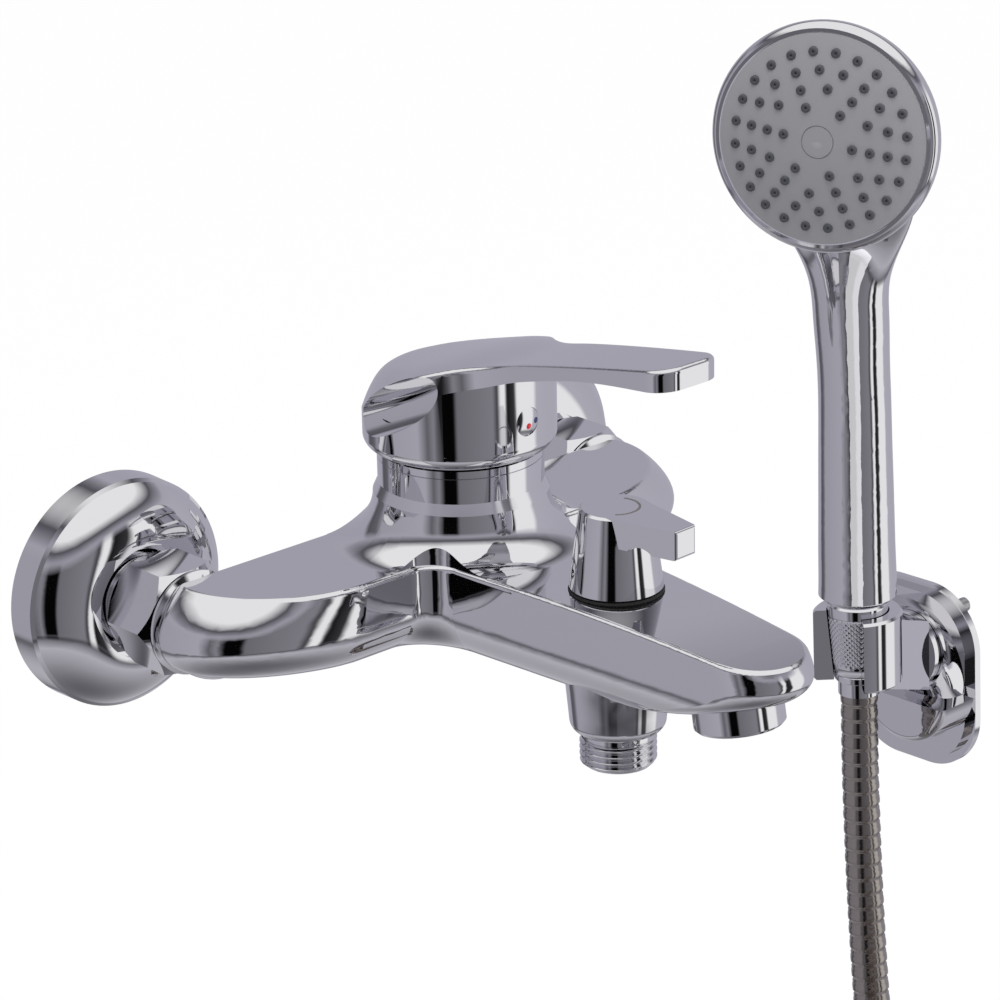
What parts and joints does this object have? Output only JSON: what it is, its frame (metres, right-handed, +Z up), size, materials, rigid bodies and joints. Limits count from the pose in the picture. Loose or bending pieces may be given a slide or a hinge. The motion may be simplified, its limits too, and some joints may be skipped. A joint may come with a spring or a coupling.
{
  "type": "bath and shower mixer set",
  "caption": "Wall-mounted single-lever bath and shower mixer with spout, diverter and aerator, and a hand shower on a swivel wall clip with its steel hose put away in a coil.",
  "frame": {"origin": "on the wall plane, midway between the two inlets' axes", "axes": "+X along the wall from the left inlet to the right one, +Y into the wall, +Z up; the spout stands out along -Y"},
  "size_m": [0.3556, 0.2168, 0.4602],
  "materials": {
    "chrome_plated_brass": "bright chrome plate on brass",
    "chrome_plated_plastic": "bright chrome plate on ABS",
    "brass": "plain turned",
    "steel": "plain",
    "hose_steel": "bright wound stainless strip",
    "black_rubber": "matt",
    "nozzle_rubber": "matt silicone",
    "spray_face": "satin",
    "cartridge_plastic": "moulded"
  },
  "bodies": {
    "fixed": {"mixer_body": "chrome_plated_brass", "union_left": "brass", "union_right": "brass", "rosette_left": "chrome_plated_brass", "rosette_right": "chrome_plated_brass", "union_nut_left": "chrome_plated_brass", "union_nut_right": "chrome_plated_brass", "union_gasket_left": "black_rubber", "union_gasket_right": "black_rubber", "cartridge_body": "cartridge_plastic", "cartridge_nut": "brass", "tower_ring": "chrome_plated_brass", "diverter_headwork": "brass", "knob_seal": "black_rubber", "shower_nipple": "chrome_plated_brass", "aerator_housing": "chrome_plated_brass", "aerator_insert": "cartridge_plastic", "aerator_gasket": "black_rubber", "bracket_plate": "chrome_plated_plastic", "bracket_cover": "chrome_plated_plastic", "bracket_pivot_screw": "steel", "bracket_wall_screw_upper": "steel", "bracket_wall_screw_lower": "steel"},
    "carrier": {"cartridge_carrier": "cartridge_plastic", "pivot_pin": "steel"},
    "lever": {"lever_stem": "brass", "lever_handle": "chrome_plated_brass", "lever_screw": "steel", "index_plug": "chrome_plated_plastic"},
    "diverter": {"diverter_knob": "chrome_plated_brass", "diverter_spindle": "brass"},
    "clip": {"bracket_clip": "chrome_plated_plastic"},
    "hose": {"hose_ferrule": "chrome_plated_brass", "hose_run": "hose_steel", "hose_coil": "hose_steel", "hose_tie": "black_rubber", "hose_end_ferrule": "chrome_plated_brass"},
    "handset": {"handset_shell": "chrome_plated_plastic", "handset_face": "spray_face", "handset_nozzles": "nozzle_rubber", "handset_inlet": "chrome_plated_plastic", "hose_washer": "black_rubber", "hose_cone_nut": "chrome_plated_brass"},
    "end_nut": {"hose_end_nut": "chrome_plated_brass", "hose_end_washer": "black_rubber"}
  },
  "joints": [
    {"name": "lever_turn", "type": "hinge", "parent": "fixed", "child": "carrier", "pos_m": [0, -0.06334, 0.03], "axis": [0, 0, 1], "range_deg": [-50, 50]},
    {"name": "lever_lift", "type": "hinge", "parent": "carrier", "child": "lever", "pos_m": [0, -0.06334, 0.0345], "axis": [-1, 0, 0], "range_deg": [0, 22]},
    {"name": "diverter_turn", "type": "hinge", "parent": "fixed", "child": "diverter", "pos_m": [0, -0.1243, 0.02], "axis": [0, 0, 1], "range_deg": [-93, 87]},
    {"name": "clip_tilt", "type": "hinge", "parent": "fixed", "child": "clip", "pos_m": [0.209, -0.04172, -0.0912], "axis": [1, 0, 0], "range_deg": [-30, 30]},
    {"name": "handset_lift", "type": "slide", "parent": "clip", "child": "hose", "axis": [0, 0.0337, 0.9994], "range_m": [0, 0.035]},
    {"name": "handset_turn", "type": "hinge", "parent": "hose", "child": "handset", "pos_m": [0.185, -0.0415, -0.0847], "axis": [0, 0.0337, 0.9994], "range_deg": [-90, 90]},
    {"name": "end_nut_spin", "type": "hinge", "parent": "hose", "child": "end_nut", "pos_m": [0.1358, -0.05767, -0.28634], "axis": [0, -0.0337, -0.9994], "continuous": true}
  ]
}
